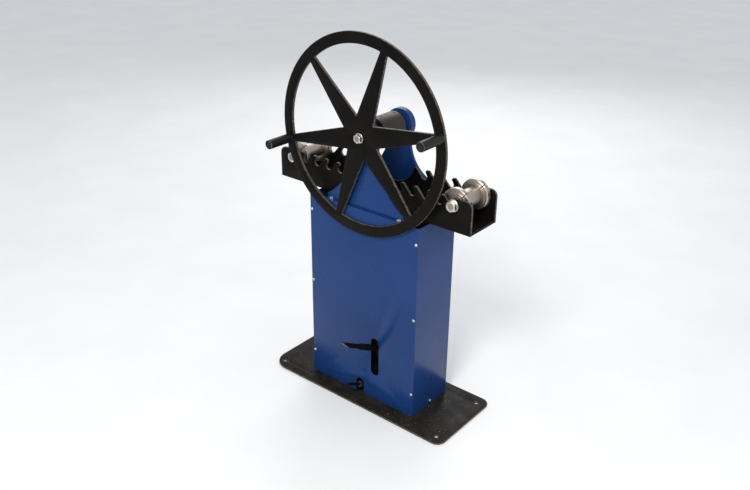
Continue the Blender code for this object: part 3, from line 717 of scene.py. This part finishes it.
def upright_outline(half_width, floor, neck_half, flare_radius, flare_z, head_radius):
    """A foot that sweeps up through two flares to a narrow neck with a round head."""
    centre = neck_half + flare_radius
    flare_end = math.degrees(math.acos((half_width - centre) / flare_radius))
    flare = arc((centre, flare_z), flare_radius, -flare_end, -180, 40)
    rise = math.degrees(math.asin((SHAFT_Z - flare_z) / (2 * head_radius))) - 3
    head = arc((0, SHAFT_Z), head_radius, -rise, 180 + rise, 64)
    return [(half_width, floor), *flare, *head, *mirrored_loop(flare), (-half_width, floor)]


def uprights():
    """The two shaped plates that carry the shaft, and the boss on the rear one."""
    bore = circle((0, SHAFT_Z), 0.0193)
    low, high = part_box("front_upright")
    jack_window = [
        (-0.030, low.z),
        *arc((-0.010, 0.240), 0.020, 180, 90, 12),
        *arc((0.065, 0.240), 0.020, 90, 0, 12),
        (0.085, low.z),
    ]
    bolt_holes = [
        circle((middle(f"{side}_tie_bolt").x, middle(f"{side}_tie_bolt").z), 0.0043, COARSE)
        for side in ("left", "right")
    ]
    outline = upright_outline(high.x, low.z, 0.0484, 0.1986, 0.853, high.z - SHAFT_Z)
    loops = [outline + jack_window, bore, *bolt_holes]
    made = plate("front_upright_plate", loops, "XZ", (low.y, high.y))
    stands_for(made, "front_upright")

    low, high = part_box("rear_upright")
    head = high.z - SHAFT_Z
    outline = upright_outline(high.x, low.z, 0.043, 0.120, 0.850, head)
    stands_for(plate("rear_upright_plate", [outline, bore], "XZ", (low.y, high.y)), "rear_upright")
    span = extent("rear_bearing_housing", Y)
    made = plate("rear_bearing_boss", [circle((0, SHAFT_Z), head, FINE), bore], "XZ", span, 0.0009)
    stands_for(made, "rear_bearing_housing")


def bearings():
    """Flanged bronze bushes that carry the drive shaft."""
    for name, direction in (("front", -1), ("rear", 1)):
        low, high = extent(f"{name}_bearing", Y)
        face = low if direction < 0 else high
        bore, body, flange, lip = 0.0153, 0.019, 0.024, 0.003
        end = low - high
        ring = [(bore, 0), (flange, 0), (flange, -lip), (body, -lip), (body, end), (bore, end)]
        made = turned(f"{name}_bush", ring, (0, face, SHAFT_Z), (0, direction, 0), closed=True)
        stands_for(made, f"{name}_bearing")


def tie_bolts():
    """The two bolts in the front upright, each with its washer."""
    for side in ("left", "right"):
        node = f"{side}_tie_bolt"
        low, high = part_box(node)
        centre = (low + high) / 2
        head, gap, radius = 0.0053, 0.0015, 0.004
        root = low.y + head
        crown = hex_head("crown", (centre.x, root, centre.z), (0, -1, 0), 0.013, head, 0.0, 0.0005)
        stem = [(0, 0.002), (radius, 0.002), (radius, root - high.y), (0, root - high.y)]
        shank = turned("shank", stem, (centre.x, root, centre.z), (0, -1, 0), COARSE)
        stands_for(merged(f"{side}_tie_screw", crown, shank), node, HEX_FINISH)
        bore, rim, top, bottom = radius + 0.0003, 0.0085, gap - 0.0001, 0.0001
        washer = [(bore, top), (rim, top), (rim, bottom), (bore, bottom)]
        place = (centre.x, root + gap, centre.z)
        made = turned(f"{side}_tie_washer", washer, place, (0, -1, 0), COARSE, closed=True, ease=0.0003)
        attached(made, "frame", "zinc")


# ---------------------------------------------------------------- handwheel
WHEEL_TURN = 12.2
SPOKES = 6


def wheel_point(radius, degrees):
    angle = math.radians(degrees + WHEEL_TURN)
    return (radius * math.cos(angle), SHAFT_Z + radius * math.sin(angle))


def handwheel():
    """The spoked wheel plate and the boss behind it."""
    low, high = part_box("handwheel")
    rim_radius, inner, notch, spoke_half = (high.z - low.z) / 2, 0.2685, 0.064, 0.0115
    rim = [wheel_point(rim_radius, 360 * i / 240) for i in range(240)]
    spread = 180 / SPOKES - math.degrees(math.asin(spoke_half / inner))
    windows = []
    for i in range(SPOKES):
        centre = 360 * (i + 0.5) / SPOKES
        edge = [wheel_point(inner, centre - spread + 2 * spread * k / 36) for k in range(37)]
        windows.append(softened([wheel_point(notch, centre), *edge], 0.0015, closed=True, steps=2))
    bore = circle((0, SHAFT_Z), 0.0123)
    pins = [circle(wheel_point(0.288, turn), 0.0063, COARSE) for turn in (0, 180)]
    loops = [rim, *windows, bore, *pins]
    made = plate("wheel_plate", loops, "XZ", (low.y, high.y), 0.0007, edge_sides=True)
    # The plate's sides are worn and carry a painted highlight.
    stands_for(made, "handwheel", WORN_AND_LIT_SIDE_FINISH)
    hub_low, hub_high = extent("wheel_hub", Y)
    boss = [circle((0, SHAFT_Z), 0.0275), bore]
    stands_for(plate("wheel_boss", boss, "XZ", (hub_low, hub_high), 0.0009), "wheel_hub")


def hub_fastener():
    """The bolt and the washer in the middle of the wheel."""
    low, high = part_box("hub_bolt")
    head = 0.010
    root = low.y + head
    crown = hex_head("crown", (0, root, SHAFT_Z), (0, -1, 0), 0.024, head, 30.0, 0.0016)
    stem = [(0, 0.002), (0.008, 0.002), (0.008, root - high.y), (0, root - high.y)]
    shank = turned("shank", stem, (0, root, SHAFT_Z), (0, -1, 0), COARSE)
    stands_for(merged("hub_screw", crown, shank), "hub_bolt", HEX_FINISH)
    front, back = extent("hub_washer", Y)
    ring = [(0.0085, back - front), (0.015, back - front), (0.015, 0), (0.0085, 0)]
    made = turned("hub_ring", ring, (0, back, SHAFT_Z), (0, -1, 0), closed=True)
    stands_for(made, "hub_washer")


def grips():
    """The two turning handles, rubbed at their rims."""
    for side in ("left", "right"):
        low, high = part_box(f"{side}_grip")
        centre = (low + high) / 2
        length, radius = high.y - low.y, (high.x - low.x) / 2
        bore, seat, depth = 0.0064, 0.0095, 0.004
        profile = [
            (seat, length),
            (radius, length),
            (radius, length - 0.004),
            (radius, length / 2),
            (radius, 0.004),
            (radius, 0),
            (bore, 0),
            (bore, length - depth),
            (seat, length - depth),
        ]
        root = (centre.x, high.y, centre.z)
        made = turned(f"{side}_handle", profile, root, (0, -1, 0), MEDIUM, closed=True, ease=0.0016)
        for face in made.data.polygons:
            height = high.y - face.center.y
            beyond = (face.center - Vector((centre.x, face.center.y, centre.z))).length
            at_end = height > length - 0.002 or height < 0.002
            face.material_index = int(at_end and beyond > radius - 0.0014)
        stands_for(made, f"{side}_grip")


# ---------------------------------------------------------------- centre roller and shaft
def centre_roller():
    """The roller on the shaft, with its two grub screws."""
    low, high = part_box("centre_roller")
    radius = (high.z - low.z) / 2
    length = high.y - low.y
    bore, lip, recess = 0.0153, 0.034, 0.006
    profile = [
        (bore, length),
        (radius - 0.001, length),
        (radius, length - 0.001),
        (radius, 0.001),
        (radius - 0.001, 0),
        (lip, 0),
        (lip, recess),
        (bore, recess),
    ]
    root = (0, low.y, SHAFT_Z)
    roller = turned("bending_roller", profile, root, (0, 1, 0), FINE, closed=True, ease=0.0004)
    lean = math.radians(7)
    out = Vector((math.sin(lean), 0, math.cos(lean)))
    seats = [Vector((0, y, SHAFT_Z)) + out * radius for y in (-0.013, 0.048)]
    drilled(roller, *[drill(seat, out, 0.0032, 0.006) for seat in seats])
    # The walls of the grub screws' seats take painted shade.
    stands_for(roller, "centre_roller", (*FINISHES["dark_steel"], SCREW_BLACK_AND_HOLE_SHADE))
    for number, seat in enumerate(seats):
        grub = [
            (0, -0.0035),
            (0.0014, -0.0035),
            (0.0015, -0.0018),
            (0.0026, -0.0018),
            (0.0030, -0.0024),
            (0.0030, -0.0055),
            (0, -0.0055),
        ]
        made = turned(f"roller_grub_{number}", grub, seat, out, COARSE, ease=0.0001)
        attached(made, "drive", "dark_steel", (SCREW_BLACK_AND_HOLE_SHADE, SCREW_BLACK_AND_HOLE_SHADE))


# ---------------------------------------------------------------- lifting beam
SEAT_X = (0.113, 0.161, 0.209, 0.257, 0.305)
SEAT_Z = middle("left_axle_washer").z
SEAT_RADIUS = 0.0105
RAMP_ANGLE = 49.0


def beam_outline(high, low):
    """A beam plate: a dip in the middle of its top edge and five hooks on each side of it."""
    dip_z, dip_radius, corner = 0.795, 0.078, 0.020
    dip_end = -math.degrees(math.asin((dip_z - high.z) / dip_radius))
    points = arc((0, dip_z), dip_radius, -90, dip_end, 30)
    ramp_foot = 270 - RAMP_ANGLE
    drop = high.z - (SEAT_Z + SEAT_RADIUS * math.sin(math.radians(ramp_foot)))
    run = drop / math.tan(math.radians(RAMP_ANGLE)) - SEAT_RADIUS * math.cos(math.radians(ramp_foot))
    for x in SEAT_X:
        points.append((x - run, high.z))
        points += arc((x, SEAT_Z), SEAT_RADIUS, ramp_foot, 395, 24)
        points += [
            (x + 0.0035, 0.7712),
            (x + 0.0033, 0.7730),
            (x + 0.0038, 0.7748),
            (x + 0.0052, 0.7766),
            (x + 0.0078, high.z),
        ]
    points += arc((high.x - corner, high.z - corner), corner, 90, 0, 16)
    half = points + [(high.x, low.z)]
    return half + mirrored_loop(half)[:-1]


def beam():
    """Two hooked plates on a floor plate, joined by short weld beads."""
    for end in ("front", "rear"):
        node = f"beam_{end}_plate"
        low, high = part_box(node)
        loops = [beam_outline(high, low)]
        made = plate(f"{end}_beam_cheek", loops, "XZ", (low.y, high.y), 0.0006, edge_sides=True)
        # The cheeks' sides, with the hooks' ramps, are worn and carry a painted highlight.
        stands_for(made, node, WORN_AND_LIT_SIDE_FINISH)
    low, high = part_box("beam_bottom_plate")
    floor = [(low.y, low.z), (high.y, low.z), (high.y, high.z), (low.y, high.z)]
    stands_for(plate("beam_floor", [floor], "YZ", (low.x, high.x), 0.0006), "beam_bottom_plate")
    z, bead_length, pitch, radius = high.z + 0.0002, 0.115, 0.148, 0.0028
    for name, y in (("front", low.y + 0.0002), ("rear", high.y - 0.0002)):
        for number in range(5):
            start = low.x + 0.012 + number * pitch
            end = (start + bead_length, y, z)
            bead = weld_bead(f"{name}_weld_{number}", (start, y, z), end, radius)
            attached(bead, "lift", "black_paint", (FINISHES["black_paint"][0],) * 2)


# ---------------------------------------------------------------- side rollers
SLIT_ANGLE = math.radians(51)


def round_roller(x, y, degrees, radius):
    """A point on a side roller, and the way out of it, at an angle from +X towards +Z."""
    angle = math.radians(degrees)
    out = Vector((math.cos(angle), 0, math.sin(angle)))
    return Vector((x, y, SEAT_Z)) + out * radius, out


def slit_cutter(root):
    """A thin block through the wall of a clamp ring, where the ring is split."""
    length, depth, width = 0.045, 0.080, 0.0024
    block = bmesh.new()
    bmesh.ops.create_cube(block, size=1.0)
    bmesh.ops.scale(block, vec=(length, depth, width), verts=block.verts)
    bmesh.ops.translate(block, vec=(0.015 + length / 2, 0, 0), verts=block.verts)
    turn = Matrix.Rotation(-SLIT_ANGLE, 4, "Y")
    bmesh.ops.transform(block, matrix=turn, verts=block.verts)
    bmesh.ops.translate(block, vec=root, verts=block.verts)
    mesh = bpy.data.meshes.new("slit")
    block.to_mesh(mesh)
    block.free()
    return linked("slit", mesh)


def clamp_ring(side, end, direction):
    """A grooved ring with a slit, and the socket screw that clamps it on the tube."""
    node = f"{side}_{end}_ring"
    low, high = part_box(node)
    centre = (low + high) / 2
    root_y = high.y if direction < 0 else low.y
    width, radius, bore = high.y - low.y, (high.z - low.z) / 2, 0.0263
    profile = [
        (bore + 0.0012, width),
        (0.0330, width),
        (0.0338, width - 0.0010),
        (0.0350, width - 0.0010),
        (0.0358, width),
        (radius - 0.0015, width),
        (radius, width - 0.0015),
        (radius, 0.0052),
        (radius - 0.0034, 0.0022),
        (0.0385, 0.0018),
        (0.0378, 0.0008),
        (0.0355, 0.0008),
        (0.0348, 0.0),
        (bore, 0.0),
        (bore, width - 0.0012),
    ]
    root = (centre.x, root_y, SEAT_Z)
    name, along = f"{side}_{end}_flange", (0, direction, 0)
    ring = turned(name, profile, root, along, FINE, closed=True, ease=0.0004)
    y = centre.y - direction * 0.001
    seat, out = round_roller(centre.x, y, 18.0, radius)
    away, away_out = round_roller(centre.x, y, 84.0, radius)
    tangent = Vector((-out.z, 0, out.x))
    sunk = seat - out * 0.0035
    lean = -tangent + out * 0.55
    screw_hole = drill(sunk, lean, 0.0030, 0.012)
    pin_hole = drill(away, away_out, 0.0017, 0.004)
    drilled(ring, slit_cutter(root), screw_hole, pin_hole)
    # The slit and the two holes take painted shade.
    stands_for(ring, node, (*FINISHES["machined_steel"], SCREW_BLACK_AND_HOLE_SHADE))
    screw = [
        (0, 0.0),
        (0.0013, 0.0),
        (0.0013, 0.0020),
        (0.0026, 0.0020),
        (0.0027, 0.0016),
        (0.0027, -0.0030),
        (0, -0.0030),
    ]
    place = sunk - lean.normalized() * 0.0045
    made = turned(f"{side}_{end}_clamp_screw", screw, place, lean, COARSE, ease=0.0001)
    attached(made, f"{side}_roller", "machined_steel", (SCREW_BLACK_AND_HOLE_SHADE, SCREW_BLACK_AND_HOLE_SHADE))


def side_roller(side):
    """A tube on a bush, with a clamp ring at each end."""
    low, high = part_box(f"{side}_roller_sleeve")
    centre = (low + high) / 2
    half, radius = (high.y - low.y) / 2, (high.z - low.z) / 2
    spot = (centre.x, centre.y, SEAT_Z)
    sleeve = [(0.0148, half), (radius, half), (radius, -half), (0.0148, -half)]
    made = turned(f"{side}_tube_roller", sleeve, spot, (0, 1, 0), FINE, closed=True, ease=0.0009)
    stands_for(made, f"{side}_roller_sleeve")

    bush_half = (extent(f"{side}_roller_bush", Y)[1] - extent(f"{side}_roller_bush", Y)[0]) / 2
    bush = [
        (0.0103, bush_half),
        (0.0200, bush_half),
        (0.0200, half + 0.0004),
        (0.0145, half + 0.0004),
        (0.0145, -bush_half),
        (0.0103, -bush_half),
    ]
    made = turned(f"{side}_bush", bush, spot, (0, 1, 0), MEDIUM, closed=True)
    stands_for(made, f"{side}_roller_bush")
    clamp_ring(side, "front", -1)
    clamp_ring(side, "rear", 1)


def axle(side):
    """The axle bolt, its washer, its nut, and the threaded end that stands out of the nut."""
    low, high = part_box(f"{side}_axle_bolt")
    x = middle(f"{side}_axle_washer").x
    head, radius = 0.0125, 0.010
    root = low.y + head
    crown = hex_head("crown", (x, root, SEAT_Z), (0, -1, 0), 0.030, head, 30.0, 0.0014)
    length = high.y - root
    stem = [(0, 0.002), (radius, 0.002), (radius, 0.022 - length)]
    pitch, depth, crest = 0.0025, 0.0011, 0.0002
    height = 0.022 - length
    while height - pitch > 0.0012 - length:
        stem += [
            (radius, height - crest),
            (radius - depth, height - pitch / 2),
            (radius, height - pitch + crest),
        ]
        height -= pitch
    stem += [(radius - 0.0012, -length), (0, -length)]
    shank = turned("shank", stem, (x, root, SEAT_Z), (0, -1, 0), MEDIUM, ease=0.00015)
    stands_for(merged(f"{side}_axle", crown, shank), f"{side}_axle_bolt", HEX_FINISH)

    front, back = extent(f"{side}_axle_washer", Y)
    ring = [(radius + 0.0003, back - front), (0.0185, back - front), (0.0185, 0), (radius + 0.0003, 0)]
    made = turned(f"{side}_axle_ring", ring, (x, back, SEAT_Z), (0, -1, 0), closed=True)
    stands_for(made, f"{side}_axle_washer")

    front, back = extent(f"{side}_axle_nut", Y)
    nut = hex_head(f"{side}_nut", (x, front, SEAT_Z), (0, 1, 0), 0.030, back - front, 30.0, 0.0006)
    drilled(nut, drill((x, back, SEAT_Z), (0, 1, 0), radius + 0.0003, 0.030))
    # The bore takes the dark steel as painted shade inside the hole.
    stands_for(nut, f"{side}_axle_nut", (*FINISHES["zinc"], FINISHES["dark_steel"][0]))


# ---------------------------------------------------------------- pump lever and release valve
LEVER_SLOPE = math.radians(29.5)
LEVER_PIVOT = Vector((0.056, -0.005, 0.1525))
LEVER_ALONG = Vector((0, -math.cos(LEVER_SLOPE), math.sin(LEVER_SLOPE)))


def pedal():
    """A round bar with a point cut on its underside, worn bright where the foot rubs it."""
    root, tip, bar, cut_start = 0.141, 0.2835, 0.0078, 0.242
    profile = [(0, tip), (bar - 0.0015, tip), (bar, tip - 0.004), (bar, root), (0, root)]
    made = turned("foot_pedal", profile, LEVER_PIVOT, LEVER_ALONG, MEDIUM, ease=0.0012)
    across = Vector((0, math.sin(LEVER_SLOPE), math.cos(LEVER_SLOPE)))
    corners = [(cut_start, -bar - 0.001), (0.300, -0.028), (0.300, bar + 0.004), (tip, bar - 0.003)]
    rings = []
    for x in (-0.02, 0.02):
        rings.append(
            [LEVER_PIVOT + LEVER_ALONG * u + across * v + Vector((x, 0, 0)) for u, v in corners]
        )
    shape = bmesh.new()
    ends = [[shape.verts.new(point) for point in ring] for ring in rings]
    for ring in ends:
        shape.faces.new(ring)
    for i in range(4):
        shape.faces.new((ends[0][i], ends[0][i - 1], ends[1][i - 1], ends[1][i]))
    bmesh.ops.recalc_face_normals(shape, faces=shape.faces)
    mesh = bpy.data.meshes.new("wedge")
    shape.to_mesh(mesh)
    shape.free()
    drilled(made, linked("wedge", mesh))
    for face in made.data.polygons:
        reach = (face.center - LEVER_PIVOT).dot(LEVER_ALONG)
        if face.material_index == 0 and reach > tip - 0.0045:
            face.material_index = 1
    stands_for(made, "pump_pedal", (*FINISHES["black_paint"], WORN_STEEL))


def release_valve():
    """The valve's screw and the rod that turns it."""
    slope = math.radians(27.9)
    out = Vector((0, -math.cos(slope), math.sin(slope)))
    root = Vector((-0.005, -0.085, 0.032))
    head, end, inside, reach = 0.010, 0.012, 0.036, 0.079
    valve = [(0, end), (head, end), (head, -0.006), (0.0050, -0.006), (0.0050, -inside), (0, -inside)]
    stands_for(turned("valve_screw", valve, root, out, MEDIUM, ease=0.0009), "release_valve")
    rod = [(0, reach), (0.0048, reach), (0.0048, end + 0.0003), (0, end + 0.0003)]
    stands_for(turned("valve_rod", rod, root, out, COARSE, ease=0.0010), "release_rod")


# ---------------------------------------------------------------- what keeps its CAD shape
def carried_over():
    """The CAD nodes that no new piece stands for: their finish, and a little ease on their edges."""
    for name, node in frame["nodes"].items():
        if node.hide_render:
            continue
        dressed(node, FINISHES[SLOT_OF[name]][:1])
        ease = node.modifiers.new("ease", "BEVEL")
        ease.width = 0.0005
        ease.segments = 2
        ease.limit_method = "ANGLE"
        ease.angle_limit = math.radians(40)


# ---------------------------------------------------------------- stage
def floor():
    """A plain pale floor, just under the base plate."""
    look = Finish("pale_floor", (0.80, 0.80, 0.79), 0.6, specular=0.3)
    cloud = look.scaled(look.noise(3.0, 4.0), 0.3, 0.7)
    look.set("Base Color", look.mixed(cloud, (0.78, 0.78, 0.775), (0.82, 0.82, 0.81)))
    look.bump(look.noise(60.0, 3.0), 0.0004, 0.1)
    mesh = bpy.data.meshes.new("floor")
    shape = bmesh.new()
    bmesh.ops.create_grid(shape, x_segments=8, y_segments=8, size=30.0)
    bmesh.ops.translate(shape, vec=(0, 0, cad_low.z - 0.0005), verts=shape.verts)
    shape.to_mesh(mesh)
    shape.free()
    obj = linked("floor", mesh)
    mesh.materials.append(look.material)


def area_light(name, place, target, size, power, colour):
    """A rectangular light at the place, aimed at the target."""
    light = bpy.data.lights.new(name, "AREA")
    light.shape = "RECTANGLE"
    light.size, light.size_y = size
    light.energy = power
    light.color = colour
    obj = linked(name, light)
    way = Vector(target) - Vector(place)
    obj.matrix_world = Matrix.Translation(place) @ way.to_track_quat("-Z", "Y").to_matrix().to_4x4()


def studio():
    """A pale sky, a soft key light from the front and two weak fills."""
    world = bpy.data.worlds.new("studio")
    bpy.context.scene.world = world
    world.use_nodes = True
    background = world.node_tree.nodes["Background"]
    background.inputs["Color"].default_value = (0.92, 0.95, 1.0, 1.0)
    background.inputs["Strength"].default_value = 0.78
    target = (0, 0, 0.6)
    key = Vector((0.257, -0.671, 0.696)) * 3.4 + Vector(target)
    area_light("key", key, target, (0.9, 0.9), 75.0, (1.0, 0.97, 0.93))
    area_light("right_fill", (3.2, -0.4, 1.6), target, (2.0, 2.0), 14.0, (0.95, 0.97, 1.0))
    area_light("back_fill", (-1.6, 2.8, 2.4), target, (2.0, 2.0), 40.0, (1.0, 1.0, 1.0))
    bpy.context.scene.view_settings.view_transform = "Standard"


CAMERA_PLACE = (1.5029, -1.8827, 1.6825)
CAMERA_TURNS = (39.026, -25.836, 0.665)     # yaw, pitch and roll in degrees
CAMERA_LENS = 40.79                         # mm, on a sensor 36 mm wide


def camera():
    """At the photograph's viewing angle."""
    yaw, pitch, roll = (math.radians(angle) for angle in CAMERA_TURNS)
    forward = Vector(
        (-math.sin(yaw) * math.cos(pitch), math.cos(yaw) * math.cos(pitch), math.sin(pitch))
    )
    level = Vector((math.cos(yaw), math.sin(yaw), 0))
    above = level.cross(forward)
    right = level * math.cos(roll) + above * math.sin(roll)
    up = above * math.cos(roll) - level * math.sin(roll)
    lens = bpy.data.cameras.new("camera")
    lens.lens = CAMERA_LENS
    lens.sensor_width = 36.0
    lens.sensor_fit = "HORIZONTAL"
    obj = linked("camera", lens)
    turn = Matrix((right, up, -forward)).transposed().to_4x4()
    obj.matrix_world = Matrix.Translation(CAMERA_PLACE) @ turn
    bpy.context.scene.camera = obj


base_plate()
front_sheet()
back_sheet()
side_sheet("right", 1)
side_sheet("left", -1)
case_screws()
uprights()
bearings()
tie_bolts()
handwheel()
hub_fastener()
grips()
centre_roller()
beam()
for roller_side in ("left", "right"):
    side_roller(roller_side)
    axle(roller_side)
pedal()
release_valve()
carried_over()
floor()
studio()
camera()
